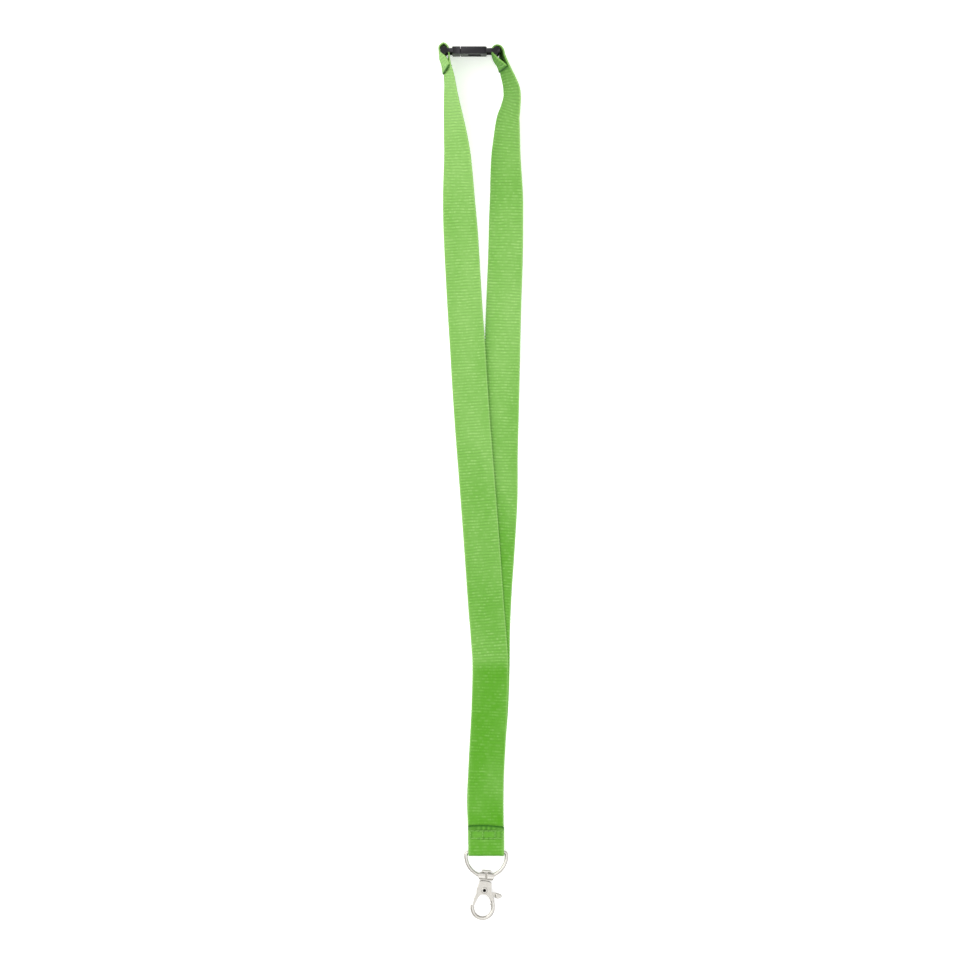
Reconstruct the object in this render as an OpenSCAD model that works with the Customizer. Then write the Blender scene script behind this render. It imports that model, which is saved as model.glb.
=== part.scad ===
// Neck lanyard lying flat: two lengths of webbing, a breakaway buckle, a D-ring and a swivel trigger hook.
// X runs across the webbing, Y from the hook to the buckle, Z up from the table.

/* [Webbing] */
// Width of the webbing
strap_w = 20; // [18:0.5:20]
// Thickness of the webbing
strap_t = 0.9; // [0.7:0.1:0.9]
// Diameter of the sewing thread
thread_d = 0.4; // [0.3:0.1:0.5]

/* [D-ring] */
// Diameter of the ring's wire
ring_wire_d = 2; // [1.8:0.1:2]
// Radius of the round side, to the middle of the wire
ring_r = 11.25; // [11:0.05:11.5]
// Length of the straight sides, from the bar to the round side
ring_side = 2.05; // [1.8:0.05:2.4]

/* [Swivel hook] */
// Bore of the eye that the ring passes through
eye_bore_r = 1.7; // [1.6:0.05:1.8]
// Thickness of the hook's head, over both cheeks
head_t = 5; // [4.8:0.1:5.4]
// Diameter of the hook's curved bar
hook_bar_d = 2; // [1.8:0.1:2.2]
// Radius of the hook's bend, to the middle of the bar
bend_r = 5.7; // [5.5:0.1:5.9]
// Thickness of the gate lever
lever_t = 1.7; // [1.5:0.1:1.7]
// Lean of the hook to one side as it lies
hook_lean = 5.2; // [0:0.2:8]

/* [Buckle] */
// Width of the buckle across the webbing
buckle_w = 24; // [23.6:0.2:25]
// Thickness of the buckle's body
buckle_t = 4; // [3.8:0.1:4.4]
// Length of the socket's body
socket_l = 14.4; // [14:0.1:15]
// Diameter of the bars that the webbing folds over
buckle_bar_d = 2.2; // [2:0.1:2.4]

/* [Hidden] */
$fn = 48;

// the ring's bar seen from the middle of the object's footprint
bar_x = 3;
bar_y = -204.6;
// height of the ring and its bar, and of the hook, above the table
bar_z = 3;
hook_z = 3.1;

// rings of the swept webbing for each stretch between two route points
steps = 4;

// A route point is [x, y, height of the lower edge, tilt from lying flat to standing on edge].
left_route = [
    [-0.1, 4.6, 1.85, 0], [-0.2, 14.5, 1.85, 0], [-0.3, 29, 1.6, 0], [0, 45, 1.4, 0], [0.9, 62, 1.2, 0],
    [1.8, 80, 1.1, 0], [2.3, 103, 1.1, 0], [1.3, 120, 1.1, 0], [-0.1, 137, 1.1, 0], [-2.4, 170, 1, 1],
    [-4.9, 203, 0.6, 4], [-7.2, 232, 0.2, 6], [-9, 258, 0, 7], [-10.4, 281, 0, 9], [-12, 305, 0, 12],
    [-13.9, 339, 0, 15], [-15.1, 361, 0, 27], [-15.8, 383, 0, 41], [-16.8, 395, 0, 49],
    [-17.9, 405, 0.3, 57], [-19.2, 416, 0.8, 66], [-19.9, 424, 1.3, 72], [-20.7, 431, 1.8, 76],
    [-20.9, 436, 2, 84], [-20.6, 441, 2, 90], [-21.2, 444.6, 2, 90], [-23.5, 446.4, 2, 90],
    [-25.8, 444.6, 2, 90], [-26, 441, 2, 90], [-24.6, 437, 2, 84], [-22.6, 432.7, 2.1, 75]];
// where the buckle's release divides the left strap, and the clear length between its two parts
split_y = 416;
split_gap = 0.3;

fold_r = 1.7;
flap_route = [[0, 14.5, 2.84, 0], [0, 10, 2.9, 0], [0, 6, 3.2, 0], [0, 2.6, 3.9, 0]];
bar_fold = [for (a = [90:30:270])
    [0, fold_r * cos(a), bar_z + fold_r * sin(a) - strap_t / 2, 0]];
right_route = [
    [0, 4, 0.85, 0], [-0.2, 14.5, 0.87, 0], [-0.7, 29, 0.6, 0], [0, 45, 0.35, 0], [0.9, 62, 0.15, 0],
    [2.3, 80, 0, 0], [3.1, 103, 0, 0], [3.3, 123, 0, 0], [4.3, 145, 0, 0], [5.6, 164, 0, 0],
    [7.4, 195, 0, 0], [7.6, 220, 0, 0], [8.2, 245, 0, 2], [8.8, 270, 0, 5], [9.6, 300, 0, 11],
    [10.6, 328, 0, 14], [11, 350, 0, 18], [11.2, 363, 0, 23], [10.9, 383, 0, 35], [11.4, 394.5, 0.2, 43],
    [12.1, 404.5, 0.5, 50], [13.4, 411, 0.8, 57], [14.3, 417, 1.2, 62], [14, 422, 1.5, 64],
    [12.9, 426, 1.7, 67], [11.2, 430.8, 1.9, 71], [9.8, 435.3, 2, 76], [8.9, 440, 2, 84],
    [8.6, 443, 2, 90], [7.7, 445.2, 2, 90], [5.8, 446.1, 2, 90], [3.9, 444.9, 2, 90], [3.2, 442, 2, 90],
    [4.6, 438.6, 2, 84], [7.4, 435, 2, 79], [9.5, 432.2, 2.1, 75]];

// stitch rows of the join, as distances from the ring's bar
row_near = 7.6;
row_far = 11.8;
stitch_pitch = 2.5;
join_half = 8.75;
join_columns = [-8.75, -2, 4.9, 8.75];

buckle_y = 442.4;
seam_x = -14.2;
seam_gap = 0.2;
plug_head_l = 4.5;
rail = 1.6;
rail_half = 1.05;
boss_r = 2;
socket_bar_x = 5.6;
plug_bar_x = -23.3;
cavity_half = 1.1;
tongue_half = 0.95;
latch_step_x = -7;
latch_shoulder = 3.8;
latch_room = 2.2;

// the hook's own frame stands on the lowest point of the ring's wire, with +Y towards the eye
eye_y = 0.35;
pivot = [-0.26, -7.8];
bend = [-0.4, -17.6];
slot_t = lever_t + 0.2;
gate_r = 10.6;
arm_r = 14;
arm_angle = 26;
coil_r = 1.62;
spring_r = 0.13;
coil_pitch = 0.28;
coil_turns = 1.5;
pocket_r = 2;
pocket_z = -0.05;
rivet_r = 1.25;
rivet_head_r = 1.76;
rivet_lip = 0.3;
rivet_hole_r = 0.8;
rivet_hole_depth = 2.2;

head_outline = [
    [-3.35, -2.5], [3.2, -2.5], [3.6, -6], [3.95, -8.6], [4.6, -9.9], [5.1, -11.4], [5.3, -13],
    [3.5, -13.4], [3, -12], [2, -10.85], [0.7, -10], [-2, -10.2], [-4.5, -10.35], [-4.65, -8.5],
    [-4.55, -6.9], [-3.8, -5], [-3.45, -3.5]];
slot_outline = [[-6, -5.2], [6, -5.2], [6, -12], [2.4, -11.8], [0, -14], [-6, -14]];
gate_outline = [
    pivot, [-3.6, -7.9], [-4.3, -9.3], [-4.85, -10.5], [-5.5, -12.3], [-6.05, -15.6], [-6.3, -19],
    [-5.3, -19], [-4.95, -16.4], [-4.05, -14], [-3.2, -11.9], [-1.6, -10]];
tab_outline = [
    pivot, [3.2, -8.5], [8.3, -8.95], [9.5, -9.5], [9.8, -10.3], [9, -11.2], [7.6, -11.8],
    [6.6, -11.6], [5.9, -11.1], [3.2, -10.9]];

// ---- sweeping ----

// point k stretches of u along a smooth curve through the route
function at(route, i) = route[max(0, min(len(route) - 1, i))];
function smooth(route, i, u) =
    let (a = at(route, i - 1), b = at(route, i), c = at(route, i + 1), d = at(route, i + 2))
    b + u * (c - a) / 2 + u * u * (2 * a - 5 * b + 4 * c - d) / 2
      + u * u * u * (3 * b - a - 3 * c + d) / 2;
function spline(route) = [
    for (i = [0:len(route) - 2], k = [0:steps - 1]) smooth(route, i, k / steps),
    route[len(route) - 1]];
function unit(v) = v / norm(v);
function heading(points, i) =
    unit(points[min(len(points) - 1, i + 1)] - points[max(0, i - 1)]);

// middle of the webbing at a route point
function middle(p) = [p[0], p[1], p[2] + strap_t / 2 * cos(p[3]) + strap_w / 2 * sin(p[3])];
function across(tilt, ahead) =
    let (lean = [cos(tilt), 0, sin(tilt)]) unit(lean - (lean * ahead) * ahead);
function ribbon_ring(p, ahead, tilt) =
    let (w = across(tilt, ahead) * strap_w / 2, t = cross(ahead, across(tilt, ahead)) * strap_t / 2)
    [p - w - t, p + w - t, p + w + t, p - w + t];
function tube_ring(p, ahead, r, sides) =
    let (w = unit(cross(ahead, abs(ahead[2]) > 0.9 ? [1, 0, 0] : [0, 0, 1])), t = cross(ahead, w))
    [for (k = [0:sides - 1]) p + r * (cos(360 * k / sides) * w + sin(360 * k / sides) * t)];

// closed skin over a list of rings that have the same number of points
module skin(rings) {
    n = len(rings[0]);
    last = (len(rings) - 1) * n;
    polyhedron(
        points = [for (r = rings, p = r) p],
        faces = concat(
            [[for (k = [0:n - 1]) k]],
            [for (i = [0:len(rings) - 2], k = [0:n - 1]) [
                i * n + k, (i + 1) * n + k, (i + 1) * n + (k + 1) % n]],
            [for (i = [0:len(rings) - 2], k = [0:n - 1]) [
                i * n + k, (i + 1) * n + (k + 1) % n, i * n + (k + 1) % n]],
            [[for (k = [n - 1:-1:0]) last + k]]));
}

module ribbon(route) {
    places = spline(route);
    points = [for (p = places) middle(p)];
    skin([for (i = [0:len(points) - 1]) ribbon_ring(points[i], heading(points, i), places[i][3])]);
}

module tube(points, r, sides = 8) {
    skin([for (i = [0:len(points) - 1]) tube_ring(points[i], heading(points, i), r, sides)]);
}

// ---- frames ----

module from_bar() translate([bar_x, bar_y, 0]) children();

module from_hook() from_bar()
    translate([0, -ring_side - ring_r, hook_z]) rotate([0, 0, -hook_lean]) children();

module round_bar(a, b, r) {
    d = b - a;
    translate(a) rotate([0, acos(d[2] / norm(d)), atan2(d[1], d[0])]) cylinder(h = norm(d), r = r);
}

// a plate of the hook, of thickness t about its middle plane
module plate(outline, t) translate([0, 0, -t / 2]) linear_extrude(t) polygon(outline);

// ---- webbing and thread ----

// stretch of the left strap from y_low to y_high
module left_stretch(y_low, y_high) intersection() {
    ribbon(left_route);
    translate([-40, y_low, -5]) cube([60, y_high - y_low, 40]);
}

module left_strap() color("yellowgreen") from_bar() left_stretch(0, split_y - split_gap / 2);

module left_strap_loop() color("yellowgreen") from_bar() left_stretch(split_y + split_gap / 2, 450);

module right_strap() color("limegreen") from_bar()
    ribbon(concat(flap_route, bar_fold, right_route));

// thread lying on the flap from a to b, with a leg down through the layers at each end
module join_stitch(a, b) {
    top = 3.75 + thread_d / 2;
    round_bar([a[0], a[1], top], [b[0], b[1], top], thread_d / 2);
    for (p = [a, b]) round_bar([p[0], p[1], 0.75], [p[0], p[1], top], thread_d / 2);
}

module join_stitching() color("forestgreen") from_bar() {
    for (y = [row_near, row_far], x = [-join_half:stitch_pitch:join_half - stitch_pitch])
        join_stitch([x + 0.3, y], [x + stitch_pitch - 0.3, y]);
    for (x = join_columns, y = [row_near + 0.8, row_near + 2.5])
        join_stitch([x, y], [x, y + 1.1]);
}

// thread through both layers of a buckle loop, in a row across the webbing
module loop_stitches(x_low, x_high, y, lean) {
    for (z = [4:stitch_pitch:20])
        round_bar([x_low + (z - 12) * lean, y, z], [x_high + (z - 12) * lean, y, z], thread_d / 2);
}

module left_buckle_stitching() color("forestgreen") from_bar()
    loop_stitches(-24.2, -20.2, 434.2, 0.2);

module right_buckle_stitching() color("forestgreen") from_bar()
    loop_stitches(7.4, 10.6, 434.2, 0.22);

// ---- buckle ----

// loop that a webbing end folds over: a bar between two rails that leave the body at x_body,
// with a round boss where the bar meets each rail
module strap_frame(x_body, x_bar) {
    translate([x_bar, buckle_y, 0]) cylinder(h = buckle_w, d = buckle_bar_d);
    for (z = [0, buckle_w - rail]) {
        translate([min(x_body, x_bar), buckle_y - rail_half, z])
            cube([abs(x_bar - x_body), 2 * rail_half, rail]);
        translate([x_bar, buckle_y, z]) cylinder(h = rail, r = boss_r);
    }
}

module buckle_socket() color("dimgray") from_bar() {
    x0 = seam_x + seam_gap / 2;
    difference() {
        translate([x0, buckle_y - buckle_t / 2, 0]) cube([socket_l, buckle_t, buckle_w]);
        // throat that the latch arms spring past, and the wider room behind it
        translate([x0 - 1, buckle_y - cavity_half, latch_shoulder])
            cube([latch_step_x - x0 + 2, 2 * cavity_half, buckle_w - 2 * latch_shoulder]);
        translate([latch_step_x, buckle_y - cavity_half, latch_room])
            cube([5.4, 2 * cavity_half, buckle_w - 2 * latch_room]);
        // windows in both broad faces
        translate([-10.1, buckle_y - buckle_t, 6.5]) cube([7.2, 2 * buckle_t, buckle_w - 13]);
    }
    strap_frame(x0 + socket_l, socket_bar_x);
}

module buckle_plug() color("dimgray") from_bar() {
    x1 = seam_x - seam_gap / 2;
    translate([x1 - plug_head_l, buckle_y - buckle_t / 2, 0])
        cube([plug_head_l, buckle_t, buckle_w]);
    translate([x1, buckle_y - tongue_half, 8.4]) cube([11.2, 2 * tongue_half, buckle_w - 16.8]);
    strap_frame(x1 - plug_head_l, plug_bar_x);
}

// springy arm with a bevelled barb, side = 1 for the upper and -1 for the lower
module latch_arm(side) {
    x1 = seam_x - seam_gap / 2;
    translate([0, buckle_y + tongue_half, buckle_w / 2]) rotate([90, 0, 0])
        linear_extrude(2 * tongue_half)
            polygon([for (p = [[x1, 5.6], [x1, 7.8], [-6.8, 7.8], [-5.7, 9.3], [-5, 9.3], [-3.4, 7.4],
                               [-3.2, 5.6]]) [p[0], side * p[1]]]);
}

module upper_latch_arm() color("dimgray") from_bar() latch_arm(1);

module lower_latch_arm() color("dimgray") from_bar() latch_arm(-1);

// ---- D-ring ----

module d_ring() color("silver") from_bar() translate([0, 0, bar_z]) {
    r = ring_wire_d / 2;
    corner = 1.6;
    round_bar([corner - ring_r, 0, 0], [ring_r - corner, 0, 0], r);
    for (side = [0, 1]) mirror([side, 0, 0]) {
        translate([ring_r - corner, -corner, 0])
            rotate_extrude(angle = 90) translate([corner, 0]) circle(r);
        round_bar([ring_r, -ring_side, 0], [ring_r, -corner, 0], r);
    }
    translate([0, -ring_side, 0]) rotate([0, 0, 180])
        rotate_extrude(angle = 180) translate([ring_r, 0]) circle(r);
}

// ---- swivel eye and its pin ----

module swivel_eye() color("silver") from_hook() difference() {
    union() {
        // arch over the ring
        translate([-2.5, eye_y, 0]) rotate([0, 90, 0]) cylinder(h = 5, r = 2.95);
        // flared body below it
        intersection() {
            translate([-5, eye_y, 0]) rotate([0, 90, 0]) cylinder(h = 10, r = 2.9);
            plate([[-3.2, 2.2], [-4.5, 0.8], [-4.3, -0.4], [-3.3, -2.3], [3.3, -2.3], [4.3, -0.4],
                   [4.5, 0.8], [3.2, 2.2]], 6);
        }
        translate([-3.3, -2.3, -2.4]) cube([6.6, 1.4, 4.8]);
    }
    translate([-6, -2.3 - 2, -4]) cube([12, 2, 8]);
    translate([-6, eye_y, 0]) rotate([0, 90, 0]) cylinder(h = 12, r = eye_bore_r);
    for (side = [-1, 1]) translate([side * 3, eye_y, 0]) rotate([0, side * 90, 0])
        cylinder(h = 2, r1 = eye_bore_r, r2 = eye_bore_r + 1.1);
    translate([0, -1.6, 0]) rotate([90, 0, 0]) cylinder(h = 2, r = 1);
}

module swivel_pin() color("silver") from_hook() rotate([90, 0, 0]) {
    translate([0, 0, 1.6]) cylinder(h = 2.3, r = 1);
    translate([0, 0, 3.75]) cylinder(h = 0.8, r = 1.6);
}

// ---- hook ----

module hook_body() color("silver") from_hook() difference() {
    union() {
        plate(head_outline, head_t);
        // bend, fixed arm and tip
        translate([bend[0], bend[1], 0]) rotate([0, 0, 180])
            rotate_extrude(angle = 180) translate([bend_r, 0]) circle(hook_bar_d / 2);
        translate([bend[0] + bend_r - arm_r, bend[1], 0])
            rotate_extrude(angle = arm_angle) translate([arm_r, 0]) circle(hook_bar_d / 2);
        round_bar([bend[0] - bend_r, bend[1], 0], [bend[0] - bend_r, -15.9, 0], hook_bar_d / 2);
    }
    plate(slot_outline, slot_t);
    // round end of the gate sweeps past the tip
    intersection() {
        translate([pivot[0], pivot[1], -4]) cylinder(h = 8, r = gate_r + 0.15);
        translate([-9, -18.5, -4]) cube([6, 6, 8]);
    }
    // swivel pin's bore and the room for its head
    rotate([90, 0, 0]) cylinder(h = 4, r = 1.06);
    rotate([90, 0, 0]) translate([0, 0, 3.7]) cylinder(h = 1.05, r = 1.75);
    translate([pivot[0], pivot[1], -4]) cylinder(h = 8, r = rivet_r);
}

module gate_lever() color("silver") from_hook() difference() {
    union() {
        intersection() {
            plate(gate_outline, lever_t);
            translate([pivot[0], pivot[1], -2]) cylinder(h = 4, r = gate_r);
        }
        plate(tab_outline, lever_t);
        translate([pivot[0], pivot[1], -lever_t / 2]) cylinder(h = lever_t, r = 2.6);
        // thumb pad
        intersection() {
            plate(tab_outline, 3.6);
            translate([6.4, -13, -3]) cube([4, 6, 6]);
        }
    }
    translate([pivot[0], pivot[1], -2]) cylinder(h = 4, r = 1.3);
    // pocket for the spring, with a way out for each leg
    translate([pivot[0], pivot[1], pocket_z - 2]) cylinder(h = 2, r = pocket_r);
    translate([pivot[0] - 2.2, pivot[1], pocket_z - 2]) cube([1.3, 4, 2]);
    translate([pivot[0] + 1.1, pivot[1] - 2, pocket_z - 2]) cube([0.9, 2, 2]);
}

// semi-tubular rivet: a solid head below, a blind hole in the rolled end above
module gate_rivet() color("silver") from_hook() translate([pivot[0], pivot[1], 0])
    rotate_extrude() polygon([
        [0, -head_t / 2 - rivet_lip], [rivet_head_r, -head_t / 2 - rivet_lip],
        [rivet_head_r, -head_t / 2], [rivet_r, -head_t / 2], [rivet_r, head_t / 2],
        [rivet_head_r, head_t / 2], [rivet_head_r, head_t / 2 + rivet_lip],
        [rivet_hole_r, head_t / 2 + rivet_lip], [rivet_hole_r, head_t / 2 - rivet_hole_depth],
        [0, head_t / 2 - rivet_hole_depth]]);

module gate_spring() color("gray") from_hook() translate([pivot[0], pivot[1], -0.68]) {
    coil = [for (a = [180:-15:180 - 360 * coil_turns])
        [coil_r * cos(a), coil_r * sin(a), coil_pitch * (180 - a) / 360]];
    end = coil[len(coil) - 1];
    tube(concat([[-coil_r, 2.3, 0], [-coil_r, 1, 0]], coil, [end + [0, -0.8, 0], end + [0, -1.7, 0]]),
         spring_r);
}

left_strap();
left_strap_loop();
right_strap();
join_stitching();
left_buckle_stitching();
right_buckle_stitching();
buckle_socket();
buckle_plug();
upper_latch_arm();
lower_latch_arm();
d_ring();
swivel_eye();
swivel_pin();
hook_body();
gate_lever();
gate_rivet();
gate_spring();
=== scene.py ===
import bpy
import math
import numpy as np
from mathutils import Matrix, Vector, noise


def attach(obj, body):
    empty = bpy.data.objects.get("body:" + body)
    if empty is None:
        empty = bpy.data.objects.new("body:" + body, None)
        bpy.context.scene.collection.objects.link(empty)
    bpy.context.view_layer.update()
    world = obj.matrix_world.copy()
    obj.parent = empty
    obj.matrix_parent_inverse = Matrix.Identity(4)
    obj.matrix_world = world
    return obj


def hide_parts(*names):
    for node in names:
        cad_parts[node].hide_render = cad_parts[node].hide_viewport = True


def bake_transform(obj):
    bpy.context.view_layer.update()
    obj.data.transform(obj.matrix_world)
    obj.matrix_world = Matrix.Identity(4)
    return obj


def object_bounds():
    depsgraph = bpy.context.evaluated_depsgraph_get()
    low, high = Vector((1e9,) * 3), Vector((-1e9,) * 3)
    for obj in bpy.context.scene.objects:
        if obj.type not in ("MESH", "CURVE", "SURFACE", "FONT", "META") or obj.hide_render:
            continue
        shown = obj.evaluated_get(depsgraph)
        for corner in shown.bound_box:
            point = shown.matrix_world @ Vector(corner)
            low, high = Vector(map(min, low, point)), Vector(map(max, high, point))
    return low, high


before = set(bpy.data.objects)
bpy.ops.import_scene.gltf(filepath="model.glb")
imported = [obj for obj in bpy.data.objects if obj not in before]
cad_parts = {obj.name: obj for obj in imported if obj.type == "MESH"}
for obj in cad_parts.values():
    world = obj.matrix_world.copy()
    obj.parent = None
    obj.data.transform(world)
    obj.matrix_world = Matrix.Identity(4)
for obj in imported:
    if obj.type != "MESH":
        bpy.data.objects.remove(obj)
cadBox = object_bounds()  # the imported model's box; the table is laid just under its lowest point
print("packed frame loaded:", len(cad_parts), "nodes")

# Pieces are shaped in millimetres and brought to metres when they are finished.
toMetres = Matrix.Scale(0.001, 4)
placeSet = {"bar": (3.0, -204.6, 0.0), "hook": (0, -13.3, 3.1), "hookTurn": -5.2}  # the hook's is from the bar
barPlace = toMetres @ Matrix.Translation(placeSet["bar"])  # middle of the D-ring's bar, on the table
hookTurn = Matrix.Rotation(math.radians(placeSet["hookTurn"]), 4, "Z")
hookPlace = barPlace @ Matrix.Translation(placeSet["hook"]) @ hookTurn


def clearPick():
    if bpy.context.object and bpy.context.object.mode != "OBJECT":
        bpy.ops.object.mode_set(mode="OBJECT")
    bpy.ops.object.select_all(action="DESELECT")


def makeActive(obj, others=()):
    clearPick()
    for o in (obj, *others):
        o.select_set(True)
    bpy.context.view_layer.objects.active = obj


def startEdit(obj, kind="VERT", everything=True):
    makeActive(obj)
    bpy.ops.object.mode_set(mode="EDIT")
    bpy.ops.mesh.select_mode(type=kind)
    bpy.ops.mesh.select_all(action="SELECT" if everything else "DESELECT")


def endEdit():
    bpy.ops.object.mode_set(mode="OBJECT")


def pickEdges(obj, test):
    startEdit(obj, "EDGE", everything=False)
    endEdit()
    verts = obj.data.vertices
    for edge in obj.data.edges:
        edge.select = test(verts[edge.vertices[0]].co, verts[edge.vertices[1]].co)
    bpy.ops.object.mode_set(mode="EDIT")


def applyModifier(obj, kind, **settings):
    makeActive(obj)
    modifier = obj.modifiers.new(kind.title(), kind)
    for key, value in settings.items():
        setattr(modifier, key, value)
    bpy.ops.object.modifier_apply(modifier=modifier.name)


def applyPlace():
    bpy.ops.object.transform_apply(location=True, rotation=True, scale=True)


def tidyFaces(obj):
    startEdit(obj)
    bpy.ops.mesh.remove_doubles(threshold=0.002)
    bpy.ops.mesh.normals_make_consistent(inside=False)
    endEdit()


def addBox(corner, opposite):
    clearPick()
    spans = [sorted(pair) for pair in zip(corner, opposite)]
    size = [high - low for low, high in spans]
    middle = [(high + low) / 2 for low, high in spans]
    bpy.ops.mesh.primitive_cube_add(size=1, location=middle, scale=size)
    box = bpy.context.object
    applyPlace()
    return box


def addRod(start, end, radius, sides=32):
    clearPick()
    start, end = Vector(start), Vector(end)
    turn = (end - start).to_track_quat("Z", "Y").to_euler()
    bpy.ops.mesh.primitive_cylinder_add(vertices=sides, radius=radius, depth=(end - start).length,
                                        location=(start + end) / 2, rotation=turn)
    rod = bpy.context.object
    applyPlace()
    return rod


def addPlate(outline, low, high):
    clearPick()
    bpy.ops.mesh.primitive_circle_add(vertices=len(outline), radius=1, fill_type="NGON")
    plate = bpy.context.object
    for vertex, point in zip(plate.data.vertices, outline):
        vertex.co = (point[0], point[1], low)
    startEdit(plate)
    bpy.ops.mesh.extrude_region_move(TRANSFORM_OT_translate={"value": (0, 0, high - low)})
    bpy.ops.mesh.select_all(action="SELECT")
    bpy.ops.mesh.normals_make_consistent(inside=False)
    endEdit()
    return plate


def softOutline(outline, passes=2):
    for _ in range(passes):  # cuts each corner back by a quarter of its sides
        cut = []
        for a, b in zip(outline, outline[1:] + outline[:1]):
            cut.append((a[0] * 0.75 + b[0] * 0.25, a[1] * 0.75 + b[1] * 0.25))
            cut.append((a[0] * 0.25 + b[0] * 0.75, a[1] * 0.25 + b[1] * 0.75))
        outline = cut
    return outline


def turnedShape(profile, steps=48):
    # profile is a closed outline of (radius, height), spun about Z
    clearPick()
    bpy.ops.mesh.primitive_circle_add(vertices=len(profile), radius=1, fill_type="NOTHING")
    shape = bpy.context.object
    for vertex, point in zip(shape.data.vertices, profile):
        vertex.co = (point[0], 0, point[1])
    startEdit(shape)
    bpy.ops.mesh.spin(steps=steps, angle=math.tau, center=(0, 0, 0), axis=(0, 0, 1))
    endEdit()
    tidyFaces(shape)
    return shape


def bentWire(start, heading, radius, moves, sides=20, closed=False):
    # a round wire drawn out from start: ("go", vector) or ("turn", centre, axis, degrees, steps)
    clearPick()
    turn = Vector(heading).to_track_quat("Z", "Y").to_euler()
    bpy.ops.mesh.primitive_circle_add(vertices=sides, radius=radius, location=start, rotation=turn,
                                      fill_type="NOTHING" if closed else "NGON")
    wire = bpy.context.object
    applyPlace()
    startEdit(wire)
    for move in moves:
        if move[0] == "go":
            bpy.ops.mesh.extrude_region_move(TRANSFORM_OT_translate={"value": move[1]})
        else:
            # spin turns the other way, so the angle is negated
            bpy.ops.mesh.spin(steps=move[4], angle=-math.radians(move[3]), center=move[1], axis=move[2])
    endEdit()
    tidyFaces(wire)
    return wire


def joinParts(parts):
    makeActive(parts[0], parts[1:])
    bpy.ops.object.join()
    return bpy.context.object


def combine(obj, operation, parts):
    for part in parts:
        applyModifier(obj, "BOOLEAN", operation=operation, object=part, solver="EXACT")
        bpy.data.objects.remove(part)


def roundEdges(obj, width, segments=3, angle=35):
    applyModifier(obj, "BEVEL", width=width, segments=segments, limit_method="ANGLE",
                  angle_limit=math.radians(angle), use_clamp_overlap=True)


def castSkin(obj, voxel, smoothing):
    # fuses overlapping solids and rounds every edge and inner corner a little, as casting does
    applyModifier(obj, "REMESH", mode="VOXEL", voxel_size=voxel)
    applyModifier(obj, "SMOOTH", factor=0.5, iterations=smoothing)


def finishPiece(obj, name, body, material, place, nodes, angle=40):
    obj.name = name
    obj.data.name = name
    obj.matrix_world = place @ obj.matrix_world
    makeActive(obj)
    applyPlace()
    bpy.ops.object.shade_smooth_by_angle(angle=math.radians(angle))
    obj.data.materials.clear()
    obj.data.materials.append(material)
    if body:
        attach(obj, body)
    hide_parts(*nodes)
    print(name, "made,", sum(len(p.vertices) - 2 for p in obj.data.polygons), "triangles")
    return obj


def hexColour(text):
    parts = [int(text[i:i + 2], 16) / 255 for i in (1, 3, 5)]
    return [p / 12.92 if p <= 0.04045 else ((p + 0.055) / 1.055) ** 2.4 for p in parts] + [1.0]


def setInputs(tree, node, inputs):
    for key, value in inputs.items():
        if isinstance(value, bpy.types.NodeSocket):
            tree.links.new(value, node.inputs[key])
        else:
            node.inputs[key].default_value = value


def addNode(tree, kind, inputs=None, **settings):
    node = tree.nodes.new(kind)
    for key, value in settings.items():
        setattr(node, key, value)
    setInputs(tree, node, inputs or {})
    return node


def newMaterial(name):
    material = bpy.data.materials.new(name)
    material.use_nodes = True
    tree = material.node_tree
    tree.nodes.clear()
    shader = addNode(tree, "ShaderNodeBsdfPrincipled")
    addNode(tree, "ShaderNodeOutputMaterial", {"Surface": shader.outputs[0]})
    return material, tree, shader


cameraSet = {"place": (0.00012, 0.00082, 3.1), "lens": 209.4, "sensor": 36.0}

clearPick()
bpy.ops.object.camera_add(location=cameraSet["place"], rotation=(0, 0, 0))
camera = bpy.context.object
camera.data.lens = cameraSet["lens"]
camera.data.sensor_width = cameraSet["sensor"]
camera.data.clip_start = 0.1
camera.data.clip_end = 50
bpy.context.scene.camera = camera
bpy.context.scene.view_settings.view_transform = "Standard"  # keeps the white table white

lightSet = {
    "zenith": 1.32, "middle": 0.6, "horizon": 0.3,  # brightness overhead, half way down and at the horizon
    # place, aimed at, size, power, colour
    "left box": ((-1.25, 0.75, 1.35), (0, 0, 0), 1.8, 19.0, "#fffdf8"),
    "right box": ((1.4, -0.3, 1.5), (0, 0, 0), 1.9, 9.0, "#f8fbff"),
    "front box": ((0.1, -1.5, 1.2), (0, -0.1, 0), 1.6, 7.0, "#ffffff"),
}

for boxName in ("left box", "right box", "front box"):
    place, aim, size, power, colour = lightSet[boxName]
    clearPick()
    turn = (Vector(aim) - Vector(place)).to_track_quat("-Z", "Y").to_euler()
    bpy.ops.object.light_add(type="AREA", location=place, rotation=turn)
    lamp = bpy.context.object
    lamp.name = boxName.replace(" ", "_")
    lamp.data.size = size
    lamp.data.energy = power
    lamp.data.color = hexColour(colour)[:3]

world = bpy.data.worlds.new("studio")
bpy.context.scene.world = world
world.use_nodes = True
worldTree = world.node_tree
worldTree.nodes.clear()
direction = addNode(worldTree, "ShaderNodeTexCoord")
height = addNode(worldTree, "ShaderNodeSeparateXYZ", {0: direction.outputs["Generated"]})
low = addNode(worldTree, "ShaderNodeMapRange", {
    "Value": height.outputs["Z"], "From Min": 0.05, "From Max": 0.4, "To Min": lightSet["horizon"],
    "To Max": lightSet["middle"]})
high = addNode(worldTree, "ShaderNodeMapRange", {
    "Value": height.outputs["Z"], "From Min": 0.72, "From Max": 0.93, "To Min": 0.0,
    "To Max": lightSet["zenith"] - lightSet["middle"]})
glowLevel = addNode(worldTree, "ShaderNodeMath", {0: low.outputs[0], 1: high.outputs[0]}, operation="ADD")
glow = addNode(worldTree, "ShaderNodeBackground", {"Color": hexColour("#fffefc"), "Strength": glowLevel.outputs[0]})
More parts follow.
